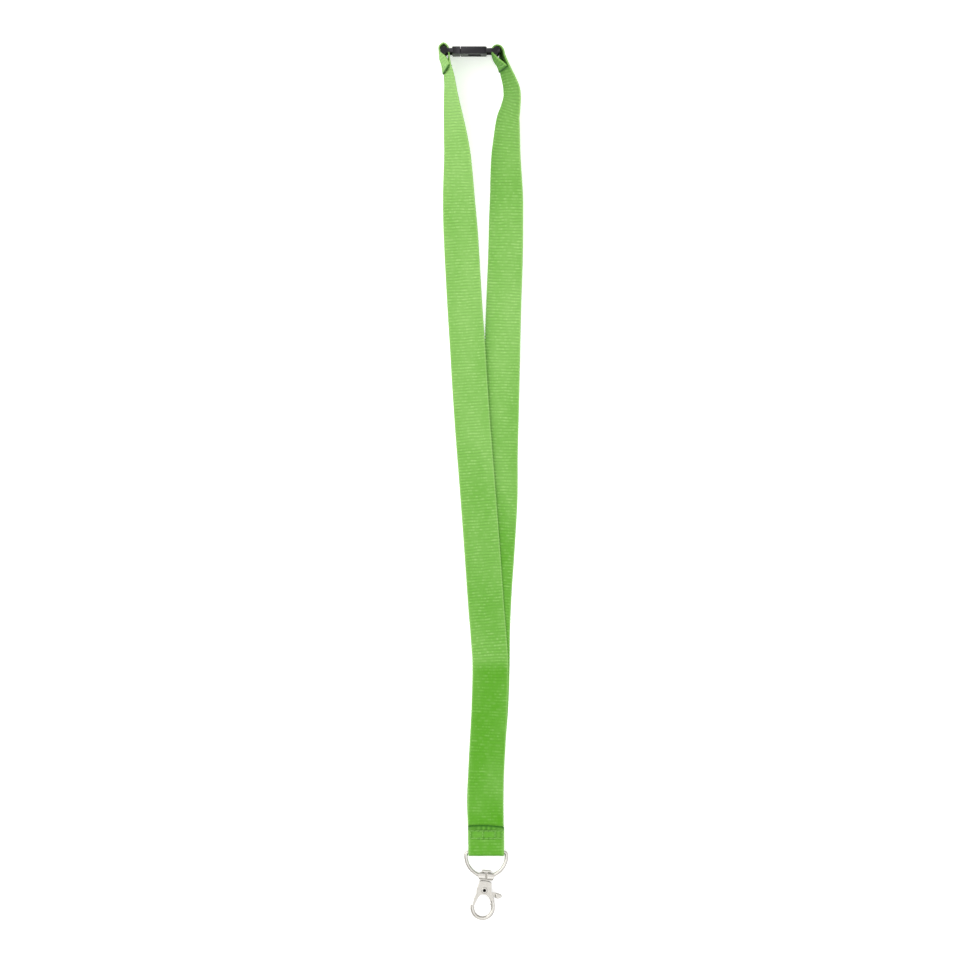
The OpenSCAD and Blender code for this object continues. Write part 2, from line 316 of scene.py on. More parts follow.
addNode(worldTree, "ShaderNodeOutputWorld", {"Surface": glow.outputs[0]})

# matt coated card: an even white that keeps only the closest shadows
tableSet = {"size": 5, "drop": 0.00002, "paper": "#f6f6f6", "fleck": "#fafafa",
            "glow": 0.38}  # the card is lit a little from below
cardMaterial, tree, shader = newMaterial("matt coated card")
grain = addNode(tree, "ShaderNodeTexCoord")
fibre = addNode(tree, "ShaderNodeTexNoise", {"Vector": grain.outputs["Object"], "Scale": 900.0, "Detail": 3.0})
paper = addNode(tree, "ShaderNodeMix", {0: fibre.outputs["Fac"], 6: hexColour(tableSet["paper"]),
                                        7: hexColour(tableSet["fleck"])}, data_type="RGBA")
setInputs(tree, shader, {"Base Color": paper.outputs[2], "Roughness": 0.9, "Specular IOR Level": 0.1,
                         "Emission Color": hexColour("#ffffff"), "Emission Strength": tableSet["glow"]})
clearPick()
bpy.ops.mesh.primitive_plane_add(size=tableSet["size"], location=(0, 0, cadBox[0].z - tableSet["drop"]))
table = bpy.context.object
table.name = "table"
table.data.materials.append(cardMaterial)
print("camera, table and light set")

# Polyester webbing, woven with cross ribs and heat set: matt yarn, a soft sheen, ribs lit on one side
webbingSet = {
    "deep": "#55a01c", "paintedLitGreen": "#8fc368", "gleam": "#b4e08c", "melt": "#2a6612", "hole": "#2a5f12",
    "troughShade": 0.8, "crestShade": 1.07,
    "ribPitch": 1.66, "yarnPitch": 0.6,  # millimetres between ribs along the strap and between yarns across it
}
webbing, tree, shader = newMaterial("woven polyester webbing")
weave = addNode(tree, "ShaderNodeUVMap", uv_map="weave")  # millimetres across and along the strap
ribHeight = addNode(tree, "ShaderNodeAttribute", attribute_name="rib")
edgeBand = addNode(tree, "ShaderNodeAttribute", attribute_name="selvedge")
paintedLightLevel = addNode(tree, "ShaderNodeAttribute", attribute_name="paintedLight")
meltBand = addNode(tree, "ShaderNodeAttribute", attribute_name="melt")
stitchShadeMask = addNode(tree, "ShaderNodeAttribute", attribute_name="paintedStitchShade")
# dye takes a little unevenly over a few centimetres
dyeAt = addNode(tree, "ShaderNodeMapping", {"Vector": weave.outputs[0], "Scale": (0.05, 0.025, 1.0)})
dye = addNode(tree, "ShaderNodeTexNoise", {"Vector": dyeAt.outputs[0], "Scale": 1.0, "Detail": 3.0},
              noise_dimensions="2D")
dyeGain = addNode(tree, "ShaderNodeMapRange", {"Value": dye.outputs["Fac"], "From Min": 0.3, "From Max": 0.7,
                                               "To Min": -0.14, "To Max": 0.14})
# painted light and shade along the strap, from the per-point attribute, added to the dye's own unevenness: the pale
# green is painted sheen and light, the deep green the shaded end
paintedLightAndDye = addNode(tree, "ShaderNodeMath", {0: paintedLightLevel.outputs["Fac"], 1: dyeGain.outputs[0]}, operation="ADD",
                  use_clamp=True)
dyeAndPaintedLight = addNode(tree, "ShaderNodeMix", {0: paintedLightAndDye.outputs[0], 6: hexColour(webbingSet["deep"]),
                                       7: hexColour(webbingSet["paintedLitGreen"])}, data_type="RGBA")
ribMix = addNode(tree, "ShaderNodeMapRange", {"Value": ribHeight.outputs["Fac"], "From Min": -1.0, "From Max": 1.0,
                                              "To Min": webbingSet["troughShade"],
                                              "To Max": webbingSet["crestShade"]})
ribbed = addNode(tree, "ShaderNodeMix", {0: 1.0, 6: dyeAndPaintedLight.outputs[2], 7: ribMix.outputs[0]},
                 data_type="RGBA", blend_type="MULTIPLY")
# each rib catches the light for 2 to 6 mm at a time, so bright lines break off across the strap
ribCount = addNode(tree, "ShaderNodeAttribute", attribute_name="ribCount")
ribNumber = addNode(tree, "ShaderNodeMath", {0: ribCount.outputs["Fac"]}, operation="ROUND")
split = addNode(tree, "ShaderNodeSeparateXYZ", {0: weave.outputs[0]})
acrossAt = addNode(tree, "ShaderNodeMath", {0: split.outputs["X"], 1: 0.36}, operation="MULTIPLY")
ribAt = addNode(tree, "ShaderNodeMath", {0: ribNumber.outputs[0], 1: 7.31}, operation="MULTIPLY")
streakAt = addNode(tree, "ShaderNodeCombineXYZ", {0: acrossAt.outputs[0], 1: ribAt.outputs[0]})
streak = addNode(tree, "ShaderNodeTexNoise", {"Vector": streakAt.outputs[0], "Scale": 1.0, "Detail": 3.0,
                                              "Roughness": 0.7}, noise_dimensions="2D")
streakGain = addNode(tree, "ShaderNodeMapRange", {"Value": streak.outputs["Fac"], "From Min": 0.46,
                                                  "From Max": 0.74, "To Min": 0.0, "To Max": 0.42})
crestOnly = addNode(tree, "ShaderNodeMapRange", {"Value": ribHeight.outputs["Fac"], "From Min": -0.2,
                                                 "From Max": 0.6, "To Min": 0.1, "To Max": 1.0})
# bright streaks are kept weaker where the strap is painted in shade
streakInPaintedLight = addNode(tree, "ShaderNodeMapRange", {"Value": paintedLightLevel.outputs["Fac"], "From Min": 0.1,
                                                 "From Max": 0.6, "To Min": 0.65, "To Max": 1.0})
streakCrest = addNode(tree, "ShaderNodeMath", {0: streakGain.outputs[0], 1: crestOnly.outputs[0]},
                      operation="MULTIPLY")
streakLevel = addNode(tree, "ShaderNodeMath", {0: streakCrest.outputs[0], 1: streakInPaintedLight.outputs[0]},
                      operation="MULTIPLY")
streaked = addNode(tree, "ShaderNodeMix", {0: streakLevel.outputs[0], 6: ribbed.outputs[2],
                                           7: hexColour(webbingSet["gleam"])}, data_type="RGBA")
# selvedges mixed toward the pale gleam: partly wear, partly a painted highlight where the raised edges catch light
edgeMix = addNode(tree, "ShaderNodeMath", {0: edgeBand.outputs["Fac"], 1: 0.3}, operation="MULTIPLY")
edged = addNode(tree, "ShaderNodeMix", {0: edgeMix.outputs[0], 6: streaked.outputs[2],
                                        7: hexColour(webbingSet["gleam"])}, data_type="RGBA")
# painted shade in the needle holes and along the flap's last stretch by the stitches
holed = addNode(tree, "ShaderNodeMix", {0: stitchShadeMask.outputs["Fac"], 6: edged.outputs[2],
                                        7: hexColour(webbingSet["hole"])}, data_type="RGBA")
melted = addNode(tree, "ShaderNodeMix", {0: meltBand.outputs["Fac"], 6: holed.outputs[2],
                                         7: hexColour(webbingSet["melt"])}, data_type="RGBA")
# warp yarns 0.6 mm apart
yarnTurn = addNode(tree, "ShaderNodeMath", {0: split.outputs["X"], 1: math.tau / webbingSet["yarnPitch"]},
                   operation="MULTIPLY")
yarn = addNode(tree, "ShaderNodeMath", {0: yarnTurn.outputs[0]}, operation="SINE")
fuzzAt = addNode(tree, "ShaderNodeMapping", {"Vector": weave.outputs[0], "Scale": (9.0, 4.0, 1.0)})
fuzz = addNode(tree, "ShaderNodeTexNoise", {"Vector": fuzzAt.outputs[0], "Scale": 1.0, "Detail": 4.0},
               noise_dimensions="2D")
yarnHeight = addNode(tree, "ShaderNodeMath", {0: yarn.outputs[0], 1: fuzz.outputs["Fac"]}, operation="ADD")
relief = addNode(tree, "ShaderNodeBump", {"Height": yarnHeight.outputs[0], "Strength": 0.55, "Distance": 0.00004})
rough = addNode(tree, "ShaderNodeMapRange", {"Value": fuzz.outputs["Fac"], "To Min": 0.62, "To Max": 0.88})
setInputs(tree, shader, {"Base Color": melted.outputs[2], "Roughness": rough.outputs[0],
                         "Normal": relief.outputs[0], "IOR": 1.5, "Specular IOR Level": 0.2,
                         "Sheen Weight": 0.06, "Sheen Roughness": 0.45, "Sheen Tint": hexColour("#c8e8ae")})

# Spun polyester sewing thread: two plies twisted together, slightly shinier than the webbing
thread, tree, shader = newMaterial("twisted polyester thread")
where = addNode(tree, "ShaderNodeTexCoord")
plyAt = addNode(tree, "ShaderNodeMapping", {"Vector": where.outputs["Object"], "Rotation": (0.6, 0.5, 0.7),
                                            "Scale": (1000.0, 1000.0, 1000.0)})
ply = addNode(tree, "ShaderNodeTexWave", {"Vector": plyAt.outputs[0], "Scale": 0.9, "Distortion": 0.8,
                                          "Detail": 2.0})  # plies about 0.35 mm apart
plyColour = addNode(tree, "ShaderNodeMix", {0: ply.outputs["Fac"], 6: hexColour("#62a836"),
                                            7: hexColour("#95d068")}, data_type="RGBA")
plyRelief = addNode(tree, "ShaderNodeBump", {"Height": ply.outputs["Fac"], "Strength": 0.7, "Distance": 0.00005})
setInputs(tree, shader, {"Base Color": plyColour.outputs[2], "Normal": plyRelief.outputs[0], "Roughness": 0.5,
                         "IOR": 1.5, "Sheen Weight": 0.1})

# Acetal, injection moulded in a spark-eroded tool: soft grey-black, faint sparkle, edges rubbed paler
acetalSet = {"body": "#161518", "dust": "#212024", "rubbed": "#4a484d", "grain": 0.35}  # grain in millimetres
acetal, tree, shader = newMaterial("moulded black acetal")
where = addNode(tree, "ShaderNodeTexCoord")
shape = addNode(tree, "ShaderNodeNewGeometry")
grainNoise = addNode(tree, "ShaderNodeTexNoise", {"Vector": where.outputs["Object"],
                                                  "Scale": 1000 / acetalSet["grain"], "Detail": 4.0})
cloud = addNode(tree, "ShaderNodeTexNoise", {"Vector": where.outputs["Object"], "Scale": 220.0, "Detail": 3.0})
bodyColour = addNode(tree, "ShaderNodeMix", {0: cloud.outputs["Fac"], 6: hexColour(acetalSet["body"]),
                                             7: hexColour(acetalSet["dust"])}, data_type="RGBA")
edgeWear = addNode(tree, "ShaderNodeMapRange", {"Value": shape.outputs["Pointiness"], "From Min": 0.52,
                                                "From Max": 0.62, "To Max": 0.55})
rubbed = addNode(tree, "ShaderNodeMix", {0: edgeWear.outputs[0], 6: bodyColour.outputs[2],
                                         7: hexColour(acetalSet["rubbed"])}, data_type="RGBA")
acetalRough = addNode(tree, "ShaderNodeMapRange", {"Value": cloud.outputs["Fac"], "To Min": 0.46, "To Max": 0.62})
acetalRelief = addNode(tree, "ShaderNodeBump", {"Height": grainNoise.outputs["Fac"], "Strength": 0.35,
                                                "Distance": 0.00003})
setInputs(tree, shader, {"Base Color": rubbed.outputs[2], "Roughness": acetalRough.outputs[0],
                         "Normal": acetalRelief.outputs[0], "IOR": 1.48, "Specular IOR Level": 0.2})

# Nickel plate over a die casting or wire: bright and slightly warm, faint waviness from tumbling
nickelSet = {"plate": "#d0cec9", "shade": "#bbb8b2", "wave": 1.4, "scratch": 0.25}  # sizes in millimetres
nickel, tree, shader = newMaterial("tumbled nickel plate")
where = addNode(tree, "ShaderNodeTexCoord")
waveNoise = addNode(tree, "ShaderNodeTexNoise", {"Vector": where.outputs["Object"],
                                                 "Scale": 1000 / nickelSet["wave"], "Detail": 2.0})
scratchAt = addNode(tree, "ShaderNodeMapping", {"Vector": where.outputs["Object"], "Rotation": (0.3, 0.2, 0.9),
                                                "Scale": (1.0, 9.0, 3.0)})
scratches = addNode(tree, "ShaderNodeTexNoise", {"Vector": scratchAt.outputs[0],
                                                 "Scale": 150 / nickelSet["scratch"], "Detail": 5.0})
plateColour = addNode(tree, "ShaderNodeMix", {0: waveNoise.outputs["Fac"], 6: hexColour(nickelSet["plate"]),
                                              7: hexColour(nickelSet["shade"])}, data_type="RGBA")
plateRough = addNode(tree, "ShaderNodeMapRange", {"Value": scratches.outputs["Fac"], "To Min": 0.13, "To Max": 0.3})
plateRelief = addNode(tree, "ShaderNodeBump", {"Height": waveNoise.outputs["Fac"], "Strength": 0.25,
                                               "Distance": 0.00005})
setInputs(tree, shader, {"Base Color": plateColour.outputs[2], "Roughness": plateRough.outputs[0],
                         "Normal": plateRelief.outputs[0], "Metallic": 1.0,
                         "Specular Tint": hexColour("#b4b2ae")})  # rims stay greyer than bare silver would

# Spring steel wire, drawn through a die: greyer than the plate, with fine lines along it
springSteel, tree, shader = newMaterial("drawn spring steel")
where = addNode(tree, "ShaderNodeTexCoord")
drawnAt = addNode(tree, "ShaderNodeMapping", {"Vector": where.outputs["Object"], "Scale": (1.0, 1.0, 8.0)})
drawn = addNode(tree, "ShaderNodeTexNoise", {"Vector": drawnAt.outputs[0], "Scale": 4000.0, "Detail": 3.0})
drawnColour = addNode(tree, "ShaderNodeMix", {0: drawn.outputs["Fac"], 6: hexColour("#8e8c88"),
                                              7: hexColour("#bdbab4")}, data_type="RGBA")
drawnRough = addNode(tree, "ShaderNodeMapRange", {"Value": drawn.outputs["Fac"], "To Min": 0.25, "To Max": 0.42})
setInputs(tree, shader, {"Base Color": drawnColour.outputs[2], "Roughness": drawnRough.outputs[0],
                         "Metallic": 1.0})

# Painted shade inside the rivet's blind hole: a near-black colour put where the hole is in shade
holeShadePaint, tree, shader = newMaterial("painted hole shade")
where = addNode(tree, "ShaderNodeTexCoord")
holeShadeNoise = addNode(tree, "ShaderNodeTexNoise", {"Vector": where.outputs["Object"], "Scale": 2500.0, "Detail": 3.0})
holeShadeColour = addNode(tree, "ShaderNodeMix", {0: holeShadeNoise.outputs["Fac"], 6: hexColour("#141312"), 7: hexColour("#2d2b29")},
                    data_type="RGBA")
setInputs(tree, shader, {"Base Color": holeShadeColour.outputs[2], "Roughness": 0.6, "Specular IOR Level": 0.25})
print("materials set")

# A route point is [x, y, height of the lower edge, tilt in degrees from lying flat to standing on edge].
strapSet = {
    "width": 20.0, "thick": 0.9, "ribDepth": 0.07, "serration": 0.09, "across": 38, "under": 14,
    "barHeight": 3.0, "foldRadius": 1.7, "creaseAt": 108.0, "creaseLength": 7.0, "creaseLift": 0.3,
    "ribDrift": 0.22, "flattened": 0.4, "sharpened": 0.7,  # how far ribs wander, and change at the join and crease
    "endThin": 0.55, "leftSlant": -1.3, "slantReach": 7.0, "holeDepth": 0.16, "tuckDepth": 0.12, "flapLength": 8.0,
    # painted light and shade by distance from the bar: painted shade near the join, by the flap's cut end and inside
    # the right loop, a painted highlight at the left leg's crease, and paler painted light and sheen higher up where
    # the legs turn toward the lamps
    "leftPaintedLight": [(0, 0.2), (14, 0.12), (18, 0.04), (30, 0.2), (100, 0.2), (107, 0.55), (128, 0.42), (195, 0.56),
                 (270, 0.68), (306, 0.76), (360, 0.74), (390, 0.92), (416, 1.0)],
    "rightPaintedLight": [(0, 0.16), (128, 0.2), (162, 0.26), (195, 0.45), (240, 0.54), (306, 0.78), (335, 0.7),
                  (360, 0.6), (390, 0.68), (416, 0.8), (432, 0.3), (440, 0.2)],
    "left": [
        [-0.1, 4.6, 1.85, 0], [-0.2, 14.5, 1.85, 0], [-0.3, 29, 1.6, 0], [0, 45, 1.4, 0], [0.9, 62, 1.2, 0],
        [1.8, 80, 1.1, 0], [2.3, 103, 1.1, 0], [1.3, 120, 1.1, 0], [-0.1, 137, 1.1, 0], [-2.4, 170, 1, 1],
        [-4.9, 203, 0.6, 4], [-7.2, 232, 0.2, 6], [-9, 258, 0, 7], [-10.4, 281, 0, 9], [-12, 305, 0, 12],
        [-13.9, 339, 0, 15], [-15.1, 361, 0, 27], [-15.8, 383, 0, 41], [-16.8, 395, 0, 49],
        [-17.9, 405, 0.3, 57], [-19.2, 416, 0.8, 66], [-19.9, 424, 1.3, 72], [-20.7, 431, 1.8, 76],
        [-20.9, 436, 2, 84], [-20.6, 441, 2, 90], [-21.2, 444.6, 2, 90], [-23.5, 446.4, 2, 90],
        [-25.8, 444.6, 2, 90], [-25.7, 442, 2, 89], [-24.2, 439, 2, 81], [-22.9, 436, 2, 79],
        [-22.1, 432.2, 2.1, 78]],
    "flap": [[0, 14.5, 2.84, 0], [0, 10, 2.9, 0], [0, 6, 3.2, 0], [0, 2.6, 3.9, 0]],
    "right": [
        [0, 4, 0.85, 0], [-0.2, 14.5, 0.87, 0], [-0.7, 29, 0.6, 0], [0, 45, 0.35, 0], [0.9, 62, 0.15, 0],
        [2.3, 80, 0, 0], [3.1, 103, 0, 0], [3.3, 123, 0, 0], [4.3, 145, 0, 0], [5.6, 164, 0, 0],
        [7.4, 195, 0, 0], [7.6, 220, 0, 0], [8.2, 245, 0, 2], [8.8, 270, 0, 5], [9.6, 300, 0, 11],
        [10.6, 328, 0, 14], [11, 350, 0, 18], [11.2, 363, 0, 23], [10.9, 383, 0, 35], [11.4, 394.5, 0.2, 43],
        [12.1, 404.5, 0.5, 50], [13.4, 411, 0.8, 57], [14.3, 417, 1.2, 62], [14, 422, 1.5, 64],
        [12.9, 426, 1.7, 67], [11.2, 430.8, 1.9, 71], [9.8, 435.3, 2, 76], [8.8, 440, 2, 82],
        [8.5, 442.5, 2, 84], [7.5, 444.7, 2, 87], [5.8, 445.3, 2, 90], [3.9, 444.3, 2, 90], [3.2, 441.8, 2, 90],
        [5, 438.4, 2, 84], [8, 434.9, 2, 78], [9.5, 432.4, 2.1, 74]],
}


def routeMiddle(point):
    tilt = math.radians(point[3])
    return Vector((point[0], point[1], point[2] + strapSet["thick"] / 2 * math.cos(tilt)
                   + strapSet["width"] / 2 * math.sin(tilt)))


def smoothRoute(route, steps=24):
    points = []
    for i in range(len(route) - 1):
        a, b, c, d = (np.array(route[max(0, min(len(route) - 1, i + k))], float) for k in (-1, 0, 1, 2))
        for u in np.arange(steps) / steps:
            points.append(b + u * (c - a) / 2 + u * u * (2 * a - 5 * b + 4 * c - d) / 2
                          + u ** 3 * (3 * b - a - 3 * c + d) / 2)
    points.append(np.array(route[-1], float))
    return points


def evenStations(route, spacing):
    # places along the route an even distance apart: (middle, tilt)
    points = smoothRoute(route)
    middles = [routeMiddle(p) for p in points]
    run = [0.0]
    for a, b in zip(middles, middles[1:]):
        run.append(run[-1] + (b - a).length)
    count = max(4, round(run[-1] / spacing))
    at = np.linspace(0, run[-1], count + 1)
    xyz = np.array([np.interp(at, run, [m[k] for m in middles]) for k in range(3)]).T
    tilt = np.interp(at, run, [p[3] for p in points])
    return xyz, np.radians(tilt), at


def sectionPoints():
    # once round the flat section: (across, up or down from -1 to 1, how far into the selvedge's round)
    half, edge = strapSet["width"] / 2, strapSet["thick"] / 2
    flat = half - edge
    points = [(-flat - edge * math.cos(math.radians(a)), math.sin(math.radians(a))) for a in (0, 45)]
    points += [(x, 1.0) for x in np.linspace(-flat, flat, strapSet["across"] + 1)]
    points += [(flat + edge * math.cos(math.radians(a)), math.sin(math.radians(a))) for a in (45, 0, -45)]
    points += [(x, -1.0) for x in np.linspace(flat, -flat, strapSet["under"] + 1)]
    points += [(-flat - edge * math.cos(math.radians(a)), math.sin(math.radians(a))) for a in (-45, 0)]
    return points


def smoothStep(value, low, high):
    t = np.clip((value - low) / (high - low), 0, 1)
    return t * t * (3 - 2 * t)


def makeStrap(route, paintedLevels, seed, needles=(), lift=0.0, flap=0.0, slant=0.0):
    # a grid is wrapped round the strap's section and laid along its route
    pitch = webbingSet["ribPitch"]
    xyz, tilt, run = evenStations(route, pitch / 4)
    section = sectionPoints()
    rows, cols = len(run), len(section)
    clearPick()
    bpy.ops.mesh.primitive_grid_add(x_subdivisions=cols - 1, y_subdivisions=rows - 1, size=1)
    strap = bpy.context.object
    mesh = strap.data
    flat = np.zeros(len(mesh.vertices) * 3)
    mesh.vertices.foreach_get("co", flat)
    flat = flat.reshape(-1, 3)
    col = np.rint((flat[:, 0] + 0.5) * (cols - 1)).astype(int)
    row = np.rint((flat[:, 1] + 0.5) * (rows - 1)).astype(int)
    ahead = np.gradient(xyz, axis=0)
    ahead /= np.linalg.norm(ahead, axis=1)[:, None]
    lean = np.array([np.cos(tilt), np.zeros(rows), np.sin(tilt)]).T
    side = lean - (lean * ahead).sum(1)[:, None] * ahead
    side /= np.linalg.norm(side, axis=1)[:, None]
    face = np.cross(ahead, side)
    across = np.array([p[0] for p in section])[col]
    rise = np.array([p[1] for p in section])[col]
    along = run[row]
    y = xyz[row, 1]
    crease = np.exp(-((y - strapSet["creaseAt"]) / strapSet["creaseLength"]) ** 2)
    # ribs, uneven from place to place, flatter near the join and sharper at the crease
    drift = np.array([noise.noise(Vector((a * 0.16 + seed, s * 0.11, 0.0))) for a, s in zip(across, along)])
    ribCount = along / pitch + strapSet["ribDrift"] * drift
    strength = np.array([noise.noise(Vector((a * 0.3, s * 0.27, 5.0 + seed))) for a, s in zip(across, along)])
    rib = np.cos(math.tau * ribCount) * np.clip(0.75 + 1.0 * strength, 0.15, 1.25)
    nearJoin = smoothStep(-y, -118, -98)
    rib *= (1 - strapSet["flattened"] * nearJoin) * (1 + strapSet["sharpened"] * crease)
    fromEdge = strapSet["width"] / 2 - np.abs(across)
    selvedge = 1 - smoothStep(fromEdge, 0.2, 1.1)
    fromEnd = np.minimum(along, run[-1] - along)
    endTaper = strapSet["endThin"] + (1 - strapSet["endThin"]) * smoothStep(fromEnd, 0.0, 0.35)
    thick = (strapSet["thick"] / 2 - strapSet["ribDepth"] * (1 - rib) / 2) * endTaper
    out = np.where(np.abs(rise) < 0.99, 1.0, 0.0) * strapSet["serration"] * (rib - 1) * np.sign(across)
    place = xyz[row] + side[row] * (across + out)[:, None] + face[row] * (-rise * thick)[:, None]
    place[:, 2] += lift * crease
    farEnd = 1 - smoothStep(run[-1] - along, 0.0, strapSet["slantReach"])
    place += ahead[row] * (slant * farEnd * across / (strapSet["width"] / 2))[:, None]
    # the flap's cut end is bowed and runs a little askew, and its last stretch is pulled down by the stitches and
    # painted dark, a painted shade scalloped between the stitches
    onFlap = np.where(along < flap, smoothStep(y, 9.5, 14.5), 0.0)
    u = across / (strapSet["width"] / 2)
    place[:, 1] += onFlap * (0.45 - 0.65 * u * u - 0.35 * u)
    tucked = np.where(along < flap, smoothStep(place[:, 1], 11.7, 12.3), 0.0)
    tucked *= 0.5 + 0.5 * np.cos(math.tau * across / stitchSet["pitch"])
    place[:, 2] -= strapSet["tuckDepth"] * tucked
    # the same mask paints each hole dark, a painted shade in the recess
    hole = np.zeros(len(place))
    for x, needleY in needles:  # the needle pulls the cloth down round each hole
        away = np.hypot(place[:, 0] - x, place[:, 1] - needleY)
        hole = np.maximum(hole, 1 - smoothStep(away, 0.25, 0.85))
    place -= face[row] * (-np.sign(rise) * strapSet["holeDepth"] * hole)[:, None]
    mesh.vertices.foreach_set("co", place.ravel())
    # painted light and shade along the strap, read from its table by distance from the bar
    paintedLight = np.interp(y, [f[0] for f in paintedLevels], [f[1] for f in paintedLevels])
    for key, values in (("rib", rib), ("ribCount", ribCount), ("selvedge", selvedge), ("paintedLight", paintedLight),
                        ("paintedStitchShade", np.maximum(0.9 * hole, 0.75 * tucked)),
                        ("melt", 1 - smoothStep(fromEnd, 0.35, 1.15))):
        mesh.attributes.new(key, "FLOAT", "POINT").data.foreach_set("value", values.astype(np.float32))
    roundRun = np.cumsum([0] + [math.hypot(b[0] - a[0], (b[1] - a[1]) * strapSet["thick"] / 2)
                                for a, b in zip(section, section[1:])])
    loops = np.zeros(len(mesh.loops), int)
    mesh.loops.foreach_get("vertex_index", loops)
    uv = np.array([roundRun[col[loops]], along[loops]]).T
    mesh.uv_layers[0].name = "weave"
    mesh.uv_layers["weave"].data.foreach_set("uv", uv.ravel().astype(np.float32))
    mesh.update()
    startEdit(strap)
    bpy.ops.mesh.remove_doubles(threshold=0.001)
    bpy.ops.mesh.select_all(action="DESELECT")
    bpy.ops.mesh.select_non_manifold()
    bpy.ops.mesh.edge_face_add()
    bpy.ops.mesh.select_all(action="SELECT")
    bpy.ops.mesh.normals_make_consistent(inside=False)
    endEdit()
    return strap, run[-1]


stitchSet = {
    "thread": 0.38, "length": 2.05, "pitch": 2.5, "corner": 0.22, "rowNear": 7.6, "rowFar": 11.8, "rowHalf": 8.75,
    "columns": [-8.75, -2, 4.9, 8.75], "under": 0.83, "leg": 0.7, "crown": 0.12, "shortLength": 1.2,
    # at the buckle: crown's length, leg through both layers, leg of the far side, outer and inner face, lean
    "loopY": 434.2, "loopLow": 5.25, "loopLength": 2.2, "loopLeg": 2.6, "innerLeg": 0.5,
    "leftLoop": (-23.0, -20.3, 0.2), "rightLoop": (10.68, 8.05, 0.22),
}
rowStarts = [(-stitchSet["rowHalf"] + k * stitchSet["pitch"], y)
             for y in (stitchSet["rowNear"], stitchSet["rowFar"]) for k in range(8)]
columnStarts = [(x, stitchSet["rowNear"] + step) for x in stitchSet["columns"] for step in (0.8, 1.9, 2.5, 3.6)]

barFold = [[0, strapSet["foldRadius"] * math.cos(math.radians(a)),
            strapSet["barHeight"] + strapSet["foldRadius"] * math.sin(math.radians(a)) - strapSet["thick"] / 2, 0]
           for a in range(90, 271, 30)]
leftStrap, leftLength = makeStrap(strapSet["left"], strapSet["leftPaintedLight"], 1.7, lift=strapSet["creaseLift"],
                                  slant=strapSet["leftSlant"])
finishPiece(leftStrap, "leftStrap", None, webbing, barPlace, ["left_strap", "left_strap_loop"], 60)
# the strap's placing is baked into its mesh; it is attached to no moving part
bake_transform(leftStrap)
rightStrap, rightLength = makeStrap(strapSet["flap"] + barFold + strapSet["right"], strapSet["rightPaintedLight"], 6.3,
                                    needles=rowStarts + columnStarts, flap=strapSet["flapLength"])
finishPiece(rightStrap, "rightStrap", "webbing_loop", webbing, barPlace, ["right_strap"], 60)
print("straps laid:", round(leftLength, 1), "and", round(rightLength, 1), "mm")


def makeStitch(length, leg):
    # one stitch: up out of the cloth, across, and down again
    r = stitchSet["corner"]
    half = length / 2
    return bentWire((-half, 0, -leg), (0, 0, 1), stitchSet["thread"] / 2, [
        ("go", (0, 0, leg - r)),
        ("turn", (-half + r, 0, -r), (0, 1, 0), 90, 3),
        ("go", (length - 2 * r, 0, 0)),
        ("turn", (half - r, 0, -r), (0, 1, 0), 90, 3),
        ("go", (0, 0, r - leg))], sides=8)


def copyStitches(model, places):
    copies = []
    for place in places:
        copy = model.copy()
        copy.data = model.data.copy()
        bpy.context.scene.collection.objects.link(copy)
        copy.matrix_world = place
        copies.append(copy)
    bpy.data.objects.remove(model)
    row = joinParts(copies)
    applyPlace()
    return row


flapPoints = smoothRoute(strapSet["flap"])


def flapTop(y):
    # height of the flap's upper face at a distance from the bar
    return np.interp(-y, [-p[1] for p in flapPoints], [p[2] for p in flapPoints]) + strapSet["thick"]


flipOver = Matrix.Rotation(math.pi, 4, "X")
quarterTurn = Matrix.Rotation(math.pi / 2, 4, "Z")
rowPlaces, underPlaces = [], []
for rowY in (stitchSet["rowNear"], stitchSet["rowFar"]):
    for k in range(7):
        x = -stitchSet["rowHalf"] + (k + 0.5) * stitchSet["pitch"]
        slant = Matrix.Rotation(math.radians(4 * math.sin(k * 2.3 + rowY)), 4, "Z")
        rowPlaces.append(Matrix.Translation((x, rowY, flapTop(rowY) + stitchSet["crown"])) @ slant)
        underPlaces.append(Matrix.Translation((x, rowY, stitchSet["under"])) @ slant @ flipOver)
rowStitches = copyStitches(makeStitch(stitchSet["length"], stitchSet["leg"]), rowPlaces + underPlaces)
columnPlaces = []
for x in stitchSet["columns"]:
    for step in (1.35, 3.05):
        y = stitchSet["rowNear"] + step
        columnPlaces.append(Matrix.Translation((x, y, flapTop(y) + stitchSet["crown"])) @ quarterTurn)
columnStitches = copyStitches(makeStitch(stitchSet["shortLength"], stitchSet["leg"]), columnPlaces)
finishPiece(joinParts([rowStitches, columnStitches]), "joinStitches", "webbing_loop", thread, barPlace,
            ["join_stitching"], 60)


def loopPlaces(x, lean, outward):
    # crowns run up the webbing's width, legs go through both layers
    places = []
    for k in range(6):
        z = stitchSet["loopLow"] + k * stitchSet["pitch"]
        turn = Matrix(((0, 0, outward, 0), (0, outward, 0, 0), (-1, 0, 0, 0), (0, 0, 0, 1))).to_3x3().to_4x4()
        leanTurn = Matrix.Rotation(math.atan(lean), 4, "Y")
        places.append(Matrix.Translation((x + (z - 12) * lean, stitchSet["loopY"], z)) @ leanTurn @ turn)
    return places


def sewLoop(faces, outward):
    outerX, innerX, lean = faces
    outer = makeStitch(stitchSet["loopLength"], stitchSet["loopLeg"])
    outerRow = copyStitches(outer, loopPlaces(outerX, lean, outward))
    inner = makeStitch(stitchSet["loopLength"], stitchSet["innerLeg"])
    return joinParts([outerRow, copyStitches(inner, loopPlaces(innerX, lean, -outward))])


